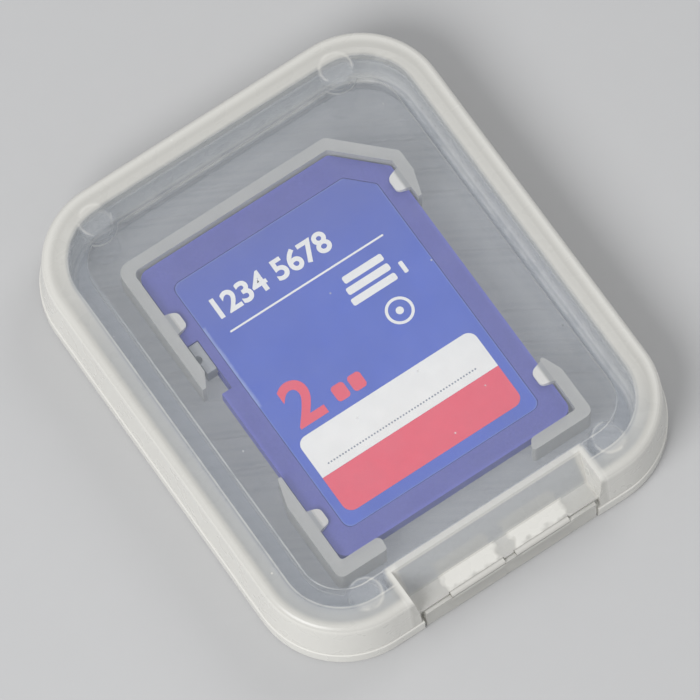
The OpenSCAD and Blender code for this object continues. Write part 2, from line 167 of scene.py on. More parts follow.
# %% A group for the ejector marks
def corner_marks_group():
    inputs = {"Half X": 12.6, "Half Y": 21.0, "Radius": 1.5, "Rim": 0.15}
    tree, given, out = socket_group("corner_marks", inputs, ["Disc", "Ring"])
    parts = millimetres(tree)
    squares = []
    for axis, half in (("X", "Half X"), ("Y", "Half Y")):
        off = math_node(tree, "SUBTRACT", math_node(tree, "ABSOLUTE", parts[axis]), given[half])
        squares.append(math_node(tree, "MULTIPLY", off, off))
    reach = math_node(tree, "SQRT", math_node(tree, "ADD", *squares))
    beyond = math_node(tree, "SUBTRACT", reach, given["Radius"])
    inner = math_node(tree, "DIVIDE", beyond, given["Rim"])
    fill(tree, out["Disc"], math_node(tree, "MULTIPLY", inner, -1.0, clamp=True))
    fill(tree, out["Ring"], math_node(tree, "SUBTRACT", 1.0, math_node(tree, "ABSOLUTE", inner), clamp=True))
    return tree


CORNER_MARKS = corner_marks_group()
print("marks group has", len(CORNER_MARKS.nodes), "nodes")

# %% [markdown]
# Some looks belong to a rectangle seen from above, such as the recess behind the hinge. The window
# group is 1 inside such a rectangle and falls to 0 over a soft edge. Its noise input moves the edge
# about, for marks that are never straight: the white stress marks where a film hinge was bent.

# %% A group for a window with soft or ragged edges
def window_group():
    inputs = {"Middle X": 0.0, "Half X": 10.0, "Low Y": -1.0, "High Y": 1.0, "Soft": 0.1, "Ragged": 0.0}
    tree, given, out = socket_group("window", inputs, ["Inside"])
    place = put(tree, "ShaderNodeTexCoord").outputs["Object"]
    noise = put(tree, "ShaderNodeTexNoise", Vector=place, Scale=1100.0, Detail=1.0).outputs["Fac"]
    shift = math_node(tree, "MULTIPLY", math_node(tree, "SUBTRACT", noise, 0.5), given["Ragged"])
    parts = millimetres(tree)
    across = math_node(tree, "ABSOLUTE", math_node(tree, "SUBTRACT", parts["X"], given["Middle X"]))
    beyond = [math_node(tree, "SUBTRACT", across, given["Half X"]),
              math_node(tree, "SUBTRACT", given["Low Y"], parts["Y"]),
              math_node(tree, "SUBTRACT", parts["Y"], given["High Y"])]
    furthest = math_node(tree, "MAXIMUM", beyond[0], math_node(tree, "MAXIMUM", beyond[1], beyond[2]))
    moved = math_node(tree, "ADD", furthest, shift)
    fill(tree, out["Inside"], math_node(tree, "DIVIDE", math_node(tree, "SUBTRACT", given["Soft"], moved),
                                        math_node(tree, "MULTIPLY", given["Soft"], 2.0), clamp=True))
    return tree


WINDOW = window_group()
print("window group has", len(WINDOW.nodes), "nodes")

# %% [markdown]
# A polished mould leaves a skin that is nearly flat, with a faint ripple, and handling adds hair
# scratches and dust where the part faces up. One group gives a height for a Bump node, a haze for
# the roughness, and the dust as a mask.

# %% A group for the moulded skin
def moulded_skin_group():
    inputs = {"Ripple": 600.0, "Grain": 5000.0, "Scratches": 0.5}
    tree, given, out = socket_group("moulded_skin", inputs, ["Height", "Haze", "Ripple", "Dust"])
    texture = put(tree, "ShaderNodeTexCoord").outputs
    place = texture["Object"]
    up = put(tree, "ShaderNodeSeparateXYZ", Vector=texture["Normal"]).outputs["Z"]
    facing_up = put(tree, "ShaderNodeMapRange", Value=up, From_Min=0.7, From_Max=0.95).outputs[0]
    ripple = put(tree, "ShaderNodeTexNoise", Vector=place, Scale=given["Ripple"], Detail=2.0).outputs["Fac"]
    grain = put(tree, "ShaderNodeTexNoise", Vector=place, Scale=given["Grain"], Detail=1.0).outputs["Fac"]
    lines = None
    for turn in (0.5, 2.1):
        turned = put(tree, "ShaderNodeMapping", Vector=place, Rotation=(0, 0, turn), Scale=(60, 2400, 60))
        streak = put(tree, "ShaderNodeTexNoise", Vector=turned.outputs[0], Scale=1.0, Detail=1.0).outputs
        thin = put(tree, "ShaderNodeMapRange", Value=streak["Fac"], From_Min=0.70, From_Max=0.76).outputs[0]
        lines = thin if lines is None else math_node(tree, "MAXIMUM", lines, thin)
    scratch = math_node(tree, "MULTIPLY", math_node(tree, "MULTIPLY", lines, facing_up), given["Scratches"])
    cells = put(tree, "ShaderNodeTexVoronoi", Vector=place, Scale=260.0, Randomness=1.0).outputs["Distance"]
    speck = put(tree, "ShaderNodeMapRange", Value=cells, From_Min=0.035, From_Max=0.015).outputs[0]
    fine = math_node(tree, "MULTIPLY", grain, 0.03)
    height = math_node(tree, "SUBTRACT", math_node(tree, "ADD", ripple, fine), scratch)
    fill(tree, out["Height"], height)
    fill(tree, out["Haze"], math_node(tree, "ADD", math_node(tree, "MULTIPLY", ripple, 0.3), scratch))
    fill(tree, out["Ripple"], ripple)
    fill(tree, out["Dust"], math_node(tree, "MULTIPLY", speck, facing_up))
    return tree


MOULDED_SKIN = moulded_skin_group()
print("skin group has", len(MOULDED_SKIN.nodes), "nodes")

# %% [markdown]
# A material keeps its own Principled BSDF. `new_material` makes one and sets its plain numbers, and
# `blend_colours` mixes two colours by a mask, which most finishes here need. `ramp` turns a measure
# into a mask between two limits, and `line_at` makes a thin line where a measure has one value.

# %% Helpers for materials
def new_material(name, **plain):
    material = bpy.data.materials.new(name)
    material.use_nodes = True
    tree = material.node_tree
    shader = tree.nodes["Principled BSDF"]
    for label, value in plain.items():
        shader.inputs[label.replace("_", " ")].default_value = value
    return material, tree, shader.inputs


def blend_colours(tree, mask, first, second):
    node = tree.nodes.new("ShaderNodeMix")
    node.data_type = "RGBA"
    for socket, value in zip((node.inputs[0], node.inputs[6], node.inputs[7]), (mask, first, second)):
        fill(tree, socket, value)
    return node.outputs[2]


def ramp(tree, value, start, end, low=0.0, high=1.0):
    return put(tree, "ShaderNodeMapRange", {"interpolation_type": "SMOOTHSTEP"}, Value=value,
               From_Min=start, From_Max=end, To_Min=low, To_Max=high).outputs[0]


def line_at(tree, value, place, width):
    off = math_node(tree, "ABSOLUTE", math_node(tree, "SUBTRACT", value, place))
    return ramp(tree, off, width, 0.0)


def surface(tree, sockets, height, depth, rough, haze=None, spread=0.1):
    bump = put(tree, "ShaderNodeBump", Height=height, Distance=depth, Strength=1.0)
    fill(tree, sockets["Normal"], bump.outputs[0])
    if haze is None:
        fill(tree, sockets["Roughness"], rough)
    else:
        added = math_node(tree, "MULTIPLY_ADD", haze, spread, rough, clamp=True)
        fill(tree, sockets["Roughness"], added)


print("material helpers ready")

# %% [markdown]
# ## Clear moulding
# The case's finish is one recipe. Its alpha is the milkiness, which starts from one value and grows
# as features are added. Thick stretches are a warm white and thin ones a cool grey. A refracting
# glass would be the obvious choice, but polypropylene scatters: through 2 mm of it the card is pale,
# not bent. The base's inner stretches lie in the lid's shade, so they get a lighter white.

# %% The recipe for clear moulding
WARM_WHITE = (0.68, 0.67, 0.63, 1)
COOL_GREY = (0.44, 0.48, 0.535, 1)
# A lighter white for the base's inner stretches: painted light that offsets the lid's shade.
PAINTED_LIGHT_WHITE = (0.86, 0.85, 0.81, 1)
MILK_TO_ALPHA = 1.12
UNEVEN = 0.04
SKIN_DEPTH = 0.004 * MM


class ClearPlastic:
    """A clear finish under construction: its milkiness grows as features are added."""

    def __init__(self, name, milk):
        self.material, self.tree, self.sockets = new_material(name, IOR=1.49)
        self.parts = millimetres(self.tree)
        normal = put(self.tree, "ShaderNodeTexCoord").outputs["Normal"]
        self.normal = put(self.tree, "ShaderNodeSeparateXYZ", Vector=normal).outputs
        self.skin = use(self.tree, MOULDED_SKIN, Ripple=450.0, Grain=6000.0, Scratches=0.08)
        self.depth = use(self.tree, OUTLINE_DEPTH, Half_Width=HALF_WIDTH, Half_Length=HALF_LENGTH,
                         Radius=CORNER_R)["Depth"]
        self.milk = math_node(self.tree, "MULTIPLY_ADD", self.skin["Ripple"], UNEVEN, milk - UNEVEN / 2)

    def add(self, mask, amount):
        more = math_node(self.tree, "MULTIPLY", mask, amount)
        left = math_node(self.tree, "SUBTRACT", 1.0, self.milk)
        self.milk = math_node(self.tree, "MULTIPLY_ADD", more, left, self.milk)
        return self

    def clear(self, mask, amount):
        kept = math_node(self.tree, "SUBTRACT", 1.0, math_node(self.tree, "MULTIPLY", mask, amount))
        self.milk = math_node(self.tree, "MULTIPLY", self.milk, kept)
        return self

    def finish(self, rough=0.24, inner=WARM_WHITE):
        tree = self.tree
        self.add(self.skin["Dust"], 0.5)
        fill(tree, self.sockets["Alpha"], math_node(tree, "MULTIPLY", self.milk, MILK_TO_ALPHA, clamp=True))
        thick = ramp(tree, self.milk, 0.15, 0.6)
        # Deeper than 0.5 mm the white is inner, which the base sets to a lighter white: painted light against
        # the lid's shade.
        white = blend_colours(tree, ramp(tree, self.depth, 0.2, 0.5), WARM_WHITE, inner)
        fill(tree, self.sockets["Base Color"], blend_colours(tree, thick, COOL_GREY, white))
        surface(tree, self.sockets, self.skin["Height"], SKIN_DEPTH, rough, self.skin["Haze"], 0.25)
        return self.material


print("thick stretches", WARM_WHITE[:3], "and thin ones", COOL_GREY[:3])

# %% [markdown]
# The features say where the milk goes. It rises towards the walls and on faces that stand upright.
# Along edges it is painted light: thin bright lines that stand in for light that travelled inside the
# plastic and comes out there. Some amounts also change from the front left to the rear right. Each
# feature is a method, because the lid and the base use the same ones at different depths.

# %% The features of a clear moulding
MARK_X = HALF_WIDTH - 7.65
MARK_R = 1.44
DIAGONAL_START, DIAGONAL_END = -12, 6


class CasePlastic(ClearPlastic):
    """Clear plastic with the features that follow the case's outline."""

    def upright(self):
        """A mask for faces that lean more than 45 degrees, full from 73 degrees on."""
        tilt = math_node(self.tree, "ABSOLUTE", self.normal["Z"])
        return ramp(self.tree, tilt, 0.7, 0.3)

    def zone(self, depth, amount, soft=0.15, on_walls=0.0):
        """Milk down to a depth, with more of it on faces that stand upright."""
        mask = ramp(self.tree, self.depth, depth + soft, depth - soft)
        self.add(mask, amount)
        if on_walls:
            self.add(math_node(self.tree, "MULTIPLY", mask, self.upright()), on_walls)
        return self

    def flow(self, near, far):
        """A value that changes from the front left to the rear right."""
        across = math_node(self.tree, "ADD", self.parts["X"], self.parts["Y"])
        return ramp(self.tree, across, DIAGONAL_START, DIAGONAL_END, near, far)

    def between(self, mask, low, high, soft):
        """The part of a mask that lies between two heights; either may be left out."""
        if low is not None:
            rising = ramp(self.tree, self.parts["Z"], low - soft, low + soft)
            mask = math_node(self.tree, "MULTIPLY", mask, rising)
        if high is not None:
            falling = ramp(self.tree, self.parts["Z"], high + soft, high - soft)
            mask = math_node(self.tree, "MULTIPLY", mask, falling)
        return mask

    def edge(self, depth, amount, width=0.15, above=None):
        """A thin bright line of painted light at a depth, on all faces or only on those above a height."""
        line = self.between(line_at(self.tree, self.depth, depth, width), above, None, 0.1)
        uneven = ramp(self.tree, self.skin["Ripple"], 0.25, 0.6, 0.65, 1.0)
        return self.add(math_node(self.tree, "MULTIPLY", line, uneven), amount)

    def marks(self, half_y, disc, ring):
        """The four ejector marks, each a faint disc with a broken rim."""
        found = use(self.tree, CORNER_MARKS, Half_X=MARK_X, Half_Y=half_y, Radius=MARK_R, Rim=0.24)
        uneven = ramp(self.tree, self.skin["Ripple"], 0.42, 0.58, 0.1, 1.0)
        self.add(found["Disc"], disc)
        return self.add(math_node(self.tree, "MULTIPLY", found["Ring"], uneven), ring)

    def window(self, amount, low=None, high=None, blur=0.1, **inputs):
        """Milk inside a window, and between two heights where they are given."""
        mask = use(self.tree, WINDOW, **inputs)["Inside"]
        return self.add(self.between(mask, low, high, blur), amount)


print("ejector marks stand", round(MARK_X, 2), "mm off the middle, with a radius of", MARK_R, "mm")

# %% [markdown]
# ## The case's finishes
# The lid's numbers are depths in millimetres from the outline. Down to 1.3 mm the view crosses the
# lid's own wall, and down to 2.75 mm the ring wall under it, so both are nearly white. From there to
# 4.4 mm it crosses the raised border, which is a little lighter than the panel, partly as painted light
# that lifts the shaded inner faces of the walls seen there. The recess over the hinge has a thinner
# wall, so it starts again from clear, and it gets painted light on its foot and a painted highlight
# along its top edge. Painted highlight lines mark the lid's own edges, on its top only and stronger at
# the front left, and behind each web the plastic is stressed white. Heights are in millimetres from
# the floor.

# %% The lid
WALL_DEPTH = 1.3
RING_DEPTH = 2.75
BORDER_DEPTH = 4.4
LID_MARK_Y = HALF_LENGTH - 3.55
EDGE_HEIGHT = 6.0
FOOT_HEIGHT = 3.7
ABOVE_ALL = 9.0
PAST_EDGE = -30.0
RECESS_HALF = 10.1
RECESS_FAR = -20.1
FOLDED_AT = 3.5
FOLDED_HALF = 2.65


def folded(plastic, low_y, high_y, amount, **heights):
    """White stress marks beside a film hinge: one behind each web, with a ragged edge."""
    for side in (-1, 1):
        plastic.window(amount, Middle_X=side * FOLDED_AT + 0.15, Half_X=FOLDED_HALF,
                       Low_Y=low_y, High_Y=high_y, Soft=0.22, Ragged=1.3, **heights)
    return plastic


def hinge_recess(lid):
    """The recess: a thin wall, a lit foot and a lit top edge, and milky ends."""
    thin = use(lid.tree, WINDOW, Half_X=RECESS_HALF, Low_Y=PAST_EDGE, High_Y=RECESS_FAR, Soft=0.2)["Inside"]
    lid.clear(thin, 0.92).add(thin, 0.37)
    # Painted light on the recess's foot.
    lid.window(0.20, low=0, high=FOOT_HEIGHT, blur=0.2,
               Half_X=RECESS_HALF - 0.3, Low_Y=PAST_EDGE, High_Y=RECESS_FAR - 2.2, Soft=0.2)
    # A painted highlight along the recess's top edge.
    lid.window(0.35, low=EDGE_HEIGHT + 0.15, high=ABOVE_ALL, blur=0.08,
               Half_X=RECESS_HALF - 0.05, Low_Y=PAST_EDGE, High_Y=RECESS_FAR + 0.05, Soft=0.12)
    for side in (-1, 1):
        lid.window(0.45, Middle_X=side * (RECESS_HALF - 0.35), Half_X=0.55,
                   Low_Y=PAST_EDGE, High_Y=RECESS_FAR - 0.2, Soft=0.2)


def lid_finish():
    lid = CasePlastic("case_lid", 0.085)
    lid.zone(WALL_DEPTH, 0.50, soft=0.4, on_walls=0.5)
    lid.zone(RING_DEPTH - 0.05, lid.flow(0.28, 0.55), soft=0.3)
    # The border zone is partly painted light that lifts the shaded inner faces of the walls.
    lid.zone(BORDER_DEPTH - 0.1, 0.10, soft=0.3)
    # Painted highlight lines at the ring wall and the border, stronger at the front left.
    lid.edge(RING_DEPTH, lid.flow(0.34, 0.12), width=0.15, above=EDGE_HEIGHT)
    lid.edge(BORDER_DEPTH, lid.flow(0.40, 0.08), width=0.13, above=EDGE_HEIGHT)
    lid.marks(LID_MARK_Y, disc=0.13, ring=0.38)
    hinge_recess(lid)
    folded(lid, low_y=-23.9, high_y=-21.0, amount=0.7, low=0, high=FOOT_HEIGHT - 0.02, blur=0.06)
    return lid.finish()


case_lid = lid_finish()
print("each stress mark is", 2 * FOLDED_HALF, "mm wide and stands", FOLDED_AT, "mm off the middle")

# %% [markdown]
# The base is seen through the lid and from below. Its rim and its ring wall are thick, and its floor
# is a little milkier than the lid's panel, as a floor would be that a card rubs on. A thin painted
# highlight line marks the ring wall's inner edge, and a soft band of painted light runs along its foot:
# it stands in for light that the wall leads down into the floor, and it lifts the shade of that corner.

# %% The base
RIM_DEPTH = 1.35
BASE_MARK_Y = HALF_LENGTH - 4.25


def base_finish():
    base = CasePlastic("case_base", 0.13)
    base.zone(RIM_DEPTH, 0.70, soft=0.2, on_walls=0.4)
    base.zone(RING_DEPTH, 0.60, soft=0.2, on_walls=0.3)
    base.zone(BORDER_DEPTH, 0.05)
    # A painted highlight line at the ring wall's inner edge.
    base.edge(RING_DEPTH, 0.2, width=0.2)
    # A band of painted light that lifts the shade at the foot of the ring wall.
    base.edge(RING_DEPTH + 0.3, 0.4, width=0.45)
    base.marks(BASE_MARK_Y, disc=0.06, ring=0.15)
    # Its inner stretches take a lighter white: painted light against the lid's shade.
    return base.finish(inner=PAINTED_LIGHT_WHITE)


case_base = base_finish()
print("clear shells:", case_lid.name, case_base.name)

# %% [markdown]
# The ribs that fence the card in are thin and stand up from the floor, so they catch more light than
# it does, and so do the webs. They need no features of their own, only a milkier start. The lid's
# border is as clear as the panel, except for its inner face, which stands upright and is milkier: a
# painted light line.

# %% Ribs, webs and border
def rib_finish(name, milk, rough=0.28):
    return ClearPlastic(name, milk).finish(rough)


def border_finish():
    border = CasePlastic("case_border", 0.08)
    # The upright inner face is milkier, as a painted light line.
    return border.add(border.upright(), 0.5).finish(0.28)


case_rib = rib_finish("case_rib", 0.50)
case_web = rib_finish("case_web", 0.66, 0.4)
case_border = border_finish()
print("thin stretches:", [m.name for m in (case_rib, case_web, case_border)])

# %% [markdown]
# The strap takes the bending together with its webs, and its folded stretches stay white. A catch is
# as clear as a rib at its root, and white only at its nose, where a card has snapped past it.

# %% Strap and catches
CARD_PLAY = 0.15


def strap_finish():
    strap = CasePlastic("case_strap", 0.55)
    folded(strap, low_y=PAST_EDGE, high_y=0.0, amount=0.45, low=2.6, high=ABOVE_ALL, blur=0.3)
    return strap.finish(0.3)


def catch_finish():
    catch = ClearPlastic("case_catch", 0.45)
    out = math_node(catch.tree, "ABSOLUTE", catch.parts["X"])
    overhang = math_node(catch.tree, "SUBTRACT", card_high.x / MM + CARD_PLAY, out)
    return catch.add(ramp(catch.tree, overhang, 0.25, 0.6), 0.8).finish(0.4)


case_strap = strap_finish()
case_catch = catch_finish()
print("worked stretches:", [m.name for m in (case_strap, case_catch)])

# %% [markdown]
# ## The card's finishes
# The card's shells come from a spark-eroded mould, so they are matt with a fine even grain. An image
# could carry such a grain, but it would need an unwrapped mesh, and cells in space need none. One
# group gives the pits as a height, slow patches as a haze, and a tone that mixes both.

# %% A group for spark-eroded grain
def eroded_grain_group():
    inputs = {"Grain": 5000.0, "Patches": 300.0}
    tree, given, out = socket_group("eroded_grain", inputs, ["Height", "Tone", "Haze"])
    place = put(tree, "ShaderNodeTexCoord").outputs["Object"]
    pits = put(tree, "ShaderNodeTexVoronoi", {"feature": "SMOOTH_F1"}, Vector=place, Scale=given["Grain"],
               Smoothness=0.6).outputs["Distance"]
    patches = put(tree, "ShaderNodeTexNoise", Vector=place, Scale=given["Patches"], Detail=2.0).outputs["Fac"]
    fill(tree, out["Height"], pits)
    fill(tree, out["Haze"], patches)
    tone = math_node(tree, "MULTIPLY_ADD", patches, 0.6, math_node(tree, "MULTIPLY", pits, 0.5))
    fill(tree, out["Tone"], tone)
    return tree


ERODED_GRAIN = eroded_grain_group()
print("grain group has", len(ERODED_GRAIN.nodes), "nodes")

# %% [markdown]
# The grain turns a flat colour into a slightly uneven one. The card's rim is rubbed a little paler
# than its faces, and the depth group finds it, this time with the card's own size. The slider is a
# moulding of its own in grey, with a finer grain than the shells.

# %% The card's shells and its slider
SHELL_BLUE = (0.115, 0.120, 0.395)
SLIDER_GREY = (0.40, 0.41, 0.42)
CARD_CORNER_R = 0.9
GRAIN_DEPTH = 0.006 * MM


def shade(colour, factor):
    return tuple(min(1.0, c * factor) for c in colour) + (1,)


def rim_of(tree, low, high, width):
    """A mask for the outer rim of the card or its label, from the piece's own box."""
    depth = use(tree, OUTLINE_DEPTH, Half_Width=(high.x - low.x) / 2 / MM,
                Half_Length=(high.y - low.y) / 2 / MM, Radius=CARD_CORNER_R,
                Middle_Y=(low.y + high.y) / 2 / MM)["Depth"]
    return ramp(tree, depth, width, 0.0)


def eroded(name, colour, rough, grain=5000.0, box=None, wear=0.0):
    """A matt plastic with a grain. Where a box is given, the rim of that box is worn paler."""
    material, tree, sockets = new_material(name)
    found = use(tree, ERODED_GRAIN, Grain=grain)
    body = blend_colours(tree, found["Tone"], shade(colour, 0.86), shade(colour, 1.14))
    if box:
        worn = math_node(tree, "MULTIPLY", rim_of(tree, *box, 0.45), wear)
        body = blend_colours(tree, worn, body, shade(colour, 1.6))
    fill(tree, sockets["Base Color"], body)
    surface(tree, sockets, found["Height"], GRAIN_DEPTH, rough, found["Haze"], 0.15)
    return material


card_shell = eroded("card_shell", SHELL_BLUE, 0.40, box=(card_low, card_high), wear=0.35)
lock_plastic = eroded("lock_plastic", SLIDER_GREY, 0.45, grain=7000.0)
print("matt plastics:", [m.name for m in (card_shell, lock_plastic)])

# %% [markdown]
# The label is a glossy printed film that lies in a recess of the upper shell. Its blue turns greyer
# towards the head, and its cut edge shows as a pale line. Along the left edge a stretch lifts a little
# and catches light, so a painted highlight widens the pale line there. One flat blue would do for the
# print, but the edge makes it a film.

# %% The label film
FILM_BLUE = (0.075, 0.130, 0.56)
FILM_HEAD = (0.107, 0.132, 0.44, 1)
CUT_EDGE = (0.30, 0.37, 0.62, 1)
LIFTED_EDGE_HIGHLIGHT = (0.42, 0.50, 0.74, 1)


def film_finish():
    material, tree, sockets = new_material("label_film", Coat_Weight=0.5, Coat_Roughness=0.18)
    place = put(tree, "ShaderNodeTexCoord").outputs["Object"]
    soft = put(tree, "ShaderNodeTexNoise", Vector=place, Scale=220.0, Detail=3.0).outputs["Fac"]
    body = blend_colours(tree, soft, shade(FILM_BLUE, 0.88), shade(FILM_BLUE, 1.12))
    head = ramp(tree, millimetres(tree)["Y"], 2.0, 15.0)
    cut = rim_of(tree, label_low, label_high, 0.18)
    # A painted highlight where a stretch of the left edge lifts a little.
    lifted_highlight = use(tree, WINDOW, Middle_X=label_low.x / MM + 0.1, Half_X=0.14, Low_Y=-0.6, High_Y=8.2,
                 Soft=0.12, Ragged=0.25)["Inside"]
    for mask, share, colour in ((head, 0.8, FILM_HEAD), (cut, 0.25, CUT_EDGE), (lifted_highlight, 0.5, LIFTED_EDGE_HIGHLIGHT)):
        body = blend_colours(tree, math_node(tree, "MULTIPLY", mask, share), body, colour)
    fill(tree, sockets["Base Color"], body)
    fibre = put(tree, "ShaderNodeTexNoise", Vector=place, Scale=2600.0, Detail=2.0).outputs["Fac"]
    surface(tree, sockets, fibre, 0.0015 * MM, 0.30, soft, 0.15)
    return material


label_film = film_finish()
print("label spans", [round((b - a) / MM, 2) for a, b in zip(label_low, label_high)], "mm")

# %% [markdown]
# ## Inside the card and its contacts
# The contacts are gold plate on the underside, and they can be seen through the clear base. The gold
# wears along the way the card slides in, so the noise is stretched far across that way and its
# scratches run along it, with the paler nickel showing through.

# %% The gold contacts
GOLD = (0.86, 0.60, 0.22, 1)
NICKEL = (0.78, 0.68, 0.50, 1)


def gold_finish():
    material, tree, sockets = new_material("contact_gold", Metallic=1.0)
    place = put(tree, "ShaderNodeTexCoord").outputs["Object"]
    along = put(tree, "ShaderNodeMapping", Vector=place, Scale=(14000, 220, 220)).outputs[0]
    wiped = put(tree, "ShaderNodeTexNoise", Vector=along, Scale=1.0, Detail=2.0).outputs["Fac"]
    thin = ramp(tree, wiped, 0.58, 0.78)
    fill(tree, sockets["Base Color"], blend_colours(tree, thin, GOLD, NICKEL))
    surface(tree, sockets, wiped, 0.001 * MM, 0.20, thin, 0.25)
    return material


contact_gold = gold_finish()
print("contacts:", contact_gold.name)

# %% [markdown]
# The board and its chips are sealed in, and are seen when the part is taken apart. A board shows the
# weave of its glass cloth under a green mask. A capacitor is a brown ceramic block with tinned ends,
# and a checker for the weave and one ramp for the ends are enough at this size.

# %% Board, chips and capacitors
DARK_MASK = (0.012, 0.085, 0.04, 1)
LIGHT_MASK = (0.03, 0.15, 0.075, 1)
DARK_CERAMIC = (0.38, 0.25, 0.14, 1)
LIGHT_CERAMIC = (0.5, 0.35, 0.22, 1)
TIN = (0.55, 0.55, 0.54, 1)
RESIN = (0.028, 0.028, 0.030)
END_WIDTH = 0.35


def board_finish():
    material, tree, sockets = new_material("board_mask", Coat_Weight=0.4, Coat_Roughness=0.15)
    place = put(tree, "ShaderNodeTexCoord").outputs["Object"]
    weave = put(tree, "ShaderNodeTexChecker", Vector=place, Scale=4000.0).outputs["Fac"]
    cloth = put(tree, "ShaderNodeTexNoise", Vector=place, Scale=500.0, Detail=3.0).outputs["Fac"]
    tone = math_node(tree, "MULTIPLY_ADD", weave, 0.25, math_node(tree, "MULTIPLY", cloth, 0.75))
    fill(tree, sockets["Base Color"], blend_colours(tree, tone, DARK_MASK, LIGHT_MASK))
    surface(tree, sockets, tone, 0.003 * MM, 0.35, cloth, 0.1)
    return material


def capacitor_finish():
    material, tree, sockets = new_material("capacitor_body")
    low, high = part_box("card_capacitors")
    half = (high.x - low.x) / 2 / MM
    middle = (low.x + high.x) / 2 / MM
    found = use(tree, ERODED_GRAIN, Grain=9000.0)
    off = math_node(tree, "ABSOLUTE", math_node(tree, "SUBTRACT", millimetres(tree)["X"], middle))
    capped = ramp(tree, off, half - END_WIDTH, half - END_WIDTH + 0.05)
    clay = blend_colours(tree, found["Tone"], DARK_CERAMIC, LIGHT_CERAMIC)
    fill(tree, sockets["Base Color"], blend_colours(tree, capped, clay, TIN))
    surface(tree, sockets, found["Height"], 0.003 * MM, 0.42)
    return material


board_mask = board_finish()
capacitor_body = capacitor_finish()
chip_resin = eroded("chip_resin", RESIN, 0.48, grain=8000.0)
print("inner finishes:", [m.name for m in (board_mask, capacitor_body, chip_resin)])

# %% [markdown]
# Screen ink lies on the film as a thin layer. Its colour is even, its edge is crisp, and a loupe
# shows pinholes. The ink recipe keeps the pinholes and a little mottle.

# %% Inks
def ink(name, colour, rough=0.33):
    material, tree, sockets = new_material(name, Coat_Weight=0.3, Coat_Roughness=0.2)
    place = put(tree, "ShaderNodeTexCoord").outputs["Object"]
    mottle = put(tree, "ShaderNodeTexNoise", Vector=place, Scale=700.0, Detail=3.0).outputs["Fac"]
    holes = put(tree, "ShaderNodeTexVoronoi", Vector=place, Scale=1500.0).outputs["Distance"]
    pin = math_node(tree, "MULTIPLY", ramp(tree, holes, 0.06, 0.03), 0.5)
    body = blend_colours(tree, mottle, shade(colour, 0.95), shade(colour, 1.05))
    fill(tree, sockets["Base Color"], blend_colours(tree, pin, body, shade(colour, 0.6)))
    surface(tree, sockets, mottle, 0.002 * MM, rough, mottle, 0.1)
    return material


ink_white = ink("ink_white", (0.89, 0.885, 0.855))
ink_red = ink("ink_red", (0.84, 0.095, 0.145))
ink_grey = ink("ink_grey", (0.28, 0.31, 0.36))
print("inks:", [m.name for m in (ink_white, ink_red, ink_grey)])

# %% [markdown]
# Every solid now takes one finish. The case's pieces are one moulding, but they get several finishes,
# because a wall, a rib and a folded web of the same plastic don't look the same.

# %% Every solid gets its finish
FINISH = {
    "base_tray": case_base, "lid_shell": case_lid, "lid_border": case_border,
    "card_fence_head": case_rib, "card_corner_left": case_rib, "card_corner_right": case_rib,
    "card_catches": case_catch, "snap_ridges": case_rib, "hinge_strap": case_strap,
    "hinge_webs_lower": case_web, "hinge_webs_upper": case_web,
    "card_back_shell": card_shell, "card_front_shell": card_shell, "card_label": label_film,
    "card_board": board_mask, "card_contacts": contact_gold, "card_memory_chip": chip_resin,
    "card_controller_chip": chip_resin, "card_capacitors": capacitor_body,
    "card_lock_slider": lock_plastic,
}
for name, material in FINISH.items():
    piece = nodes[name]
    piece.data.materials.clear()
    piece.data.materials.append(material)
print("finished nodes:", len(FINISH))

# %% [markdown]
# ## The label's print
# On the real card the print is ink on the film. It could be painted into the film's finish, but a
# finish has no words or outlines of its own. Plates of 12 micrometres have both, with crisp edges.
# Places are given in millimetres from the card's lower left corner. Each plate rides with the base,
# and its slot names the record's material that it belongs to.

# %% Helpers for printed plates
PRINT_T = 0.012 * MM
PRINT_Z = label_high.z + 0.002 * MM


def on_card(x, y, z=PRINT_Z):
    return Vector((card_low.x + x * MM, card_low.y + y * MM, z))


def place_print(name, mesh, material):
    piece = bpy.data.objects.new(name, mesh)
    bpy.context.scene.collection.objects.link(piece)
    mesh.materials.clear()
    mesh.materials.append(material)
    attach(piece, "base")
    return piece


def thicken(work, faces):
    top = bmesh.ops.extrude_face_region(work, geom=faces)
    raised = [v for v in top["geom"] if isinstance(v, bmesh.types.BMVert)]
    bmesh.ops.translate(work, verts=raised, vec=(0, 0, PRINT_T))


def place_plates(name, work, material):
    mesh = bpy.data.meshes.new(name)
    bmesh.ops.recalc_face_normals(work, faces=work.faces)
    work.to_mesh(mesh)
    work.free()
    return place_print(name, mesh, material)


def printed(name, outlines, material):
    """Ink as thin plates, one for each outline of [x, y] points."""
    work = bmesh.new()
    for outline in outlines:
        ring = [work.verts.new(on_card(x, y)) for x, y in outline]
        thicken(work, [work.faces.new(ring)])
    return place_plates(name, work, material)


def rounded_box(x0, y0, x1, y1, radii, steps=6):
    """Corners anticlockwise from the lower left, each with its own radius."""
    corners = [(x0, y0, 180), (x1, y0, 270), (x1, y1, 0), (x0, y1, 90)]
    points = []
    for (x, y, start), r in zip(corners, radii):
        cx = x + r if x == x0 else x - r
        cy = y + r if y == y0 else y - r
        for k in range(steps + 1 if r > 0 else 1):
            a = math.radians(start + 90 * k / steps)
            points.append((cx + r * math.cos(a), cy + r * math.sin(a)))
    return points


print("ink plates are", round(PRINT_T / MM, 3), "mm thick")

# %% [markdown]
# The printed fields are plain: a two-colour panel, a rule, three bars, a tick and two squares. They
# keep the places and weights of a card's usual print and say nothing.

# %% The printed fields
PANEL = (2.8, 21.1)
PANEL_R = 0.9
LOW_Y, SPLIT_Y, HIGH_Y = 3.2, 7.2, 11.3
BARS = ((14.5, 21.0), (14.2, 19.92), (14.0, 18.84))

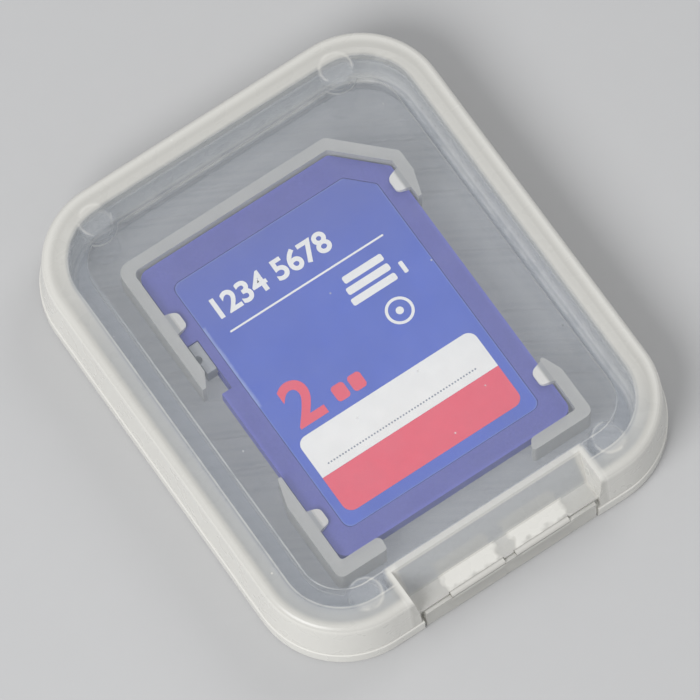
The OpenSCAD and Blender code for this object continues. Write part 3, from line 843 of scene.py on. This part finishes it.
fields = [
    printed("label_panel", [rounded_box(PANEL[0], SPLIT_Y, PANEL[1], HIGH_Y, (0, 0, PANEL_R, PANEL_R))],
            ink_white),
    printed("label_band", [rounded_box(PANEL[0], LOW_Y, PANEL[1], SPLIT_Y - 0.01, (PANEL_R, PANEL_R, 0, 0))],
            ink_red),
    printed("label_rule", [rounded_box(3.8, 22.92, 19.8, 23.1, (0.08,) * 4)], ink_white),
    printed("label_bars", [rounded_box(x0, y0, 18.6, y0 + 0.72, (0.2,) * 4) for x0, y0 in BARS], ink_white),
    printed("label_tick", [rounded_box(19.35, 18.9, 19.75, 20.1, (0.1,) * 4)], ink_white),
    printed("label_squares", [rounded_box(x0, 12.15, x0 + 1.3, 13.75, (0.35,) * 4) for x0 in (7.9, 9.6)],
            ink_red),
]
print("printed fields:", [piece.name for piece in fields])

# %% [markdown]
# The ring has a hole, which one outline can't have. Its flat faces are laid between two circles
# instead, and the dot in its middle is one more face. All of them are raised together.

# %% The printed ring
RING_STEPS = 48
DOT_STEPS = 24
DOT_R = 0.36


def circle(work, x, y, radius, steps):
    turns = [2 * math.pi * k / steps for k in range(steps)]
    return [work.verts.new(on_card(x + radius * math.cos(a), y + radius * math.sin(a))) for a in turns]


def ring_plate(name, x, y, radius, width, material):
    """A plain ring and the dot in its middle, as one print."""
    work = bmesh.new()
    outer = circle(work, x, y, radius, RING_STEPS)
    inner = circle(work, x, y, radius - width, RING_STEPS)
    flat = []
    for k in range(RING_STEPS):
        following = (k + 1) % RING_STEPS
        flat.append(work.faces.new((outer[k], outer[following], inner[following], inner[k])))
    flat.append(work.faces.new(circle(work, x, y, DOT_R, DOT_STEPS)))
    thicken(work, flat)
    return place_plates(name, work, material)


ring = ring_plate("label_ring", 17.0, 16.3, 1.3, 0.27, ink_white)
print(ring.name, "has", len(ring.data.polygons), "faces")

# %% [markdown]
# The numerals are plain digits in the places where a card says what it is and how much it holds.
# Blender's own font draws them as curves with an extrusion, and an offset makes the strokes heavier.
# The curves are then turned into a mesh, so that the digits ride like the other plates.

# %% The printed numerals
CAP_SHARE = 0.70


def mesh_from(draft, name, place):
    """What a draft object evaluates to, as a plain mesh that is moved into place."""
    bpy.context.view_layer.update()
    mesh = bpy.data.meshes.new_from_object(draft.evaluated_get(bpy.context.evaluated_depsgraph_get()))
    bpy.data.objects.remove(draft)
    mesh.transform(Matrix.Translation(place))
    mesh.name = name
    return mesh


def numerals(name, text, x, y, height, weight, gap, material):
    curve = bpy.data.curves.new(name, "FONT")
    curve.body = text
    curve.size = height / CAP_SHARE * MM
    curve.offset = weight * MM
    curve.space_character = gap
    curve.extrude = PRINT_T / 2
    curve.resolution_u = 6
    draft = bpy.data.objects.new(name + "_draft", curve)
    bpy.context.scene.collection.objects.link(draft)
    mesh = mesh_from(draft, name, on_card(x, y, PRINT_Z + PRINT_T / 2))
    return place_print(name, mesh, material)


index_row = numerals("label_index", "1234 5678", 3.35, 24.5, 2.0, 0.075, 1.01, ink_white)
numeral = numerals("label_numeral", "2", 3.75, 12.1, 4.2, 0.14, 1.0, ink_red)
for piece in (index_row, numeral):
    xs = [(v.co.x - card_low.x) / MM for v in piece.data.vertices]
    ys = [(v.co.y - card_low.y) / MM for v in piece.data.vertices]
    print(piece.name, [round(v, 2) for v in (min(xs), max(xs), min(ys), max(ys))])

# %% [markdown]
# A dotted writing line crosses the white panel. It is a repeat, so Geometry Nodes make it: a mesh
# line sets the pitch, a small flat disc stands on each of its points, and the result becomes a plain
# mesh. The count and the pitch are the group's inputs.

# %% The dotted writing line
DOTS = {"Count": 52, "Pitch": 0.3 * MM, "Dot Radius": 0.085 * MM}


def dotted_line_tree():
    tree = bpy.data.node_groups.new("dotted_line", "GeometryNodeTree")
    kinds = {"Count": "NodeSocketInt", "Pitch": "NodeSocketFloat", "Dot Radius": "NodeSocketFloat",
             "Ink": "NodeSocketMaterial"}
    for label, kind in kinds.items():
        tree.interface.new_socket(label, in_out="INPUT", socket_type=kind)
    tree.interface.new_socket("Geometry", in_out="OUTPUT", socket_type="NodeSocketGeometry")
    given = tree.nodes.new("NodeGroupInput").outputs
    step = put(tree, "ShaderNodeCombineXYZ", X=given["Pitch"]).outputs[0]
    line = put(tree, "GeometryNodeMeshLine", {"mode": "OFFSET"}, Count=given["Count"], Offset=step).outputs[0]
    disc = put(tree, "GeometryNodeMeshCylinder", Vertices=12, Radius=given["Dot Radius"],
               Depth=PRINT_T).outputs[0]
    dots = put(tree, "GeometryNodeInstanceOnPoints", Points=line, Instance=disc).outputs[0]
    solid = put(tree, "GeometryNodeRealizeInstances", Geometry=dots).outputs[0]
    inked = put(tree, "GeometryNodeSetMaterial", Geometry=solid, Material=given["Ink"]).outputs[0]
    fill(tree, tree.nodes.new("NodeGroupOutput").inputs["Geometry"], inked)
    return tree


def writing_line(name, x, y, material):
    draft = bpy.data.objects.new(name + "_draft", bpy.data.meshes.new(name + "_empty"))
    bpy.context.scene.collection.objects.link(draft)
    repeat = draft.modifiers.new("dots", "NODES")
    repeat.node_group = dotted_line_tree()
    values = dict(DOTS, Ink=material)
    for item in repeat.node_group.interface.items_tree:
        if item.in_out == "INPUT":
            repeat[item.identifier] = values[item.name]
    return place_print(name, mesh_from(draft, name, on_card(x, y, PRINT_Z + PRINT_T * 1.5)), material)


dots = writing_line("label_writing_line", 4.0, 8.05, ink_grey)
print("writing line faces:", len(dots.data.polygons))

# %% [markdown]
# ## A small studio
# The case lies on a sheet of plain paper, and an even pale world stands for a light tent round it.
# Clear plastic shows what is behind it, so the sheet is a middle grey that leaves room for whiter
# walls.

# %% Floor and world
SHEET_HALF = 1.2
TENT_WHITE = (0.97, 0.98, 1.0, 1)
DARK_PAPER = (0.475, 0.476, 0.478, 1)
LIGHT_PAPER = (0.485, 0.486, 0.488, 1)


def paper_finish():
    material, tree, sockets = new_material("floor_paper")
    place = put(tree, "ShaderNodeTexCoord").outputs["Object"]
    fibre = put(tree, "ShaderNodeTexNoise", Vector=place, Scale=400.0, Detail=3.0).outputs["Fac"]
    fill(tree, sockets["Base Color"], blend_colours(tree, fibre, DARK_PAPER, LIGHT_PAPER))
    surface(tree, sockets, fibre, 0.01 * MM, 0.65, fibre, 0.1)
    return material


def floor_sheet():
    corners = [(x * SHEET_HALF, y * SHEET_HALF, 0) for x, y in ((-1, -1), (1, -1), (1, 1), (-1, 1))]
    mesh = bpy.data.meshes.new("floor")
    mesh.from_pydata(corners, [], [(0, 1, 2, 3)])
    mesh.materials.append(paper_finish())
    floor = bpy.data.objects.new("floor", mesh)
    bpy.context.scene.collection.objects.link(floor)


def light_tent(strength):
    world = bpy.data.worlds.new("studio")
    bpy.context.scene.world = world
    world.use_nodes = True
    back = world.node_tree.nodes["Background"].inputs
    back["Color"].default_value = TENT_WHITE
    back["Strength"].default_value = strength


floor_sheet()
light_tent(0.515)
print("sheet is", 2 * SHEET_HALF, "m wide")

# %% [markdown]
# Two soft lamps stand over the sheet. The key lamp is at the left and gives the shadows their side,
# and a weaker one at the right rear lifts the edges there. Both are large discs, because a small lamp
# would draw hard spots on the panel.

# %% Lamps
def outward(azimuth, elevation):
    """A direction away from the part: degrees from the front, towards the right, and degrees up."""
    a, e = math.radians(azimuth), math.radians(elevation)
    return Vector((math.sin(a) * math.cos(e), -math.cos(a) * math.cos(e), math.sin(e)))


def soft_lamp(name, azimuth, elevation, distance, size, power):
    data = bpy.data.lights.new(name, "AREA")
    data.shape = "DISK"
    data.size = size
    data.energy = power
    lamp = bpy.data.objects.new(name, data)
    bpy.context.scene.collection.objects.link(lamp)
    back = outward(azimuth, elevation)
    lamp.location = back * distance
    lamp.rotation_euler = back.to_track_quat("Z", "Y").to_euler()
    return lamp


lamps = [soft_lamp("key", -70, 45, 0.6, 0.35, 2.8), soft_lamp("fill", 110, 40, 0.7, 0.4, 1.1)]
print("lamps in watts:", {lamp.name: round(lamp.data.energy, 2) for lamp in lamps})

# %% [markdown]
# The camera was worked out from the card's corners, whose distances a standard fixes. It looks down
# steeply from the front left through a long lens, and it leans a little to one side. A track-to
# constraint would keep it level, so the camera's matrix is built from three turned directions.

# %% Camera
CAM_TARGET = Vector((-0.58, -0.59, 3.2)) * MM
CAM_DISTANCE = 0.7523
CAM_AZIMUTH = -29.36
CAM_ELEVATION = 68.17
CAM_ROLL = math.radians(5.01)
CAM_LENS = 446.9


def photo_camera():
    back = outward(CAM_AZIMUTH, CAM_ELEVATION)
    level_up = (Vector((0, 0, 1)) - back * back.z).normalized()
    level_right = level_up.cross(back)
    up = level_up * math.cos(CAM_ROLL) + level_right * math.sin(CAM_ROLL)
    turn = Matrix((up.cross(back), up, back)).transposed().to_4x4()
    data = bpy.data.cameras.new("camera")
    data.lens = CAM_LENS
    data.sensor_width = 36
    data.clip_start = 0.01
    camera = bpy.data.objects.new("camera", data)
    bpy.context.scene.collection.objects.link(camera)
    camera.matrix_world = Matrix.Translation(CAM_TARGET + back * CAM_DISTANCE) @ turn
    return camera


bpy.context.scene.camera = photo_camera()
bpy.context.scene.view_settings.view_transform = "Standard"
print("camera stands", CAM_DISTANCE, "m from the case, with a lens of", CAM_LENS, "mm")
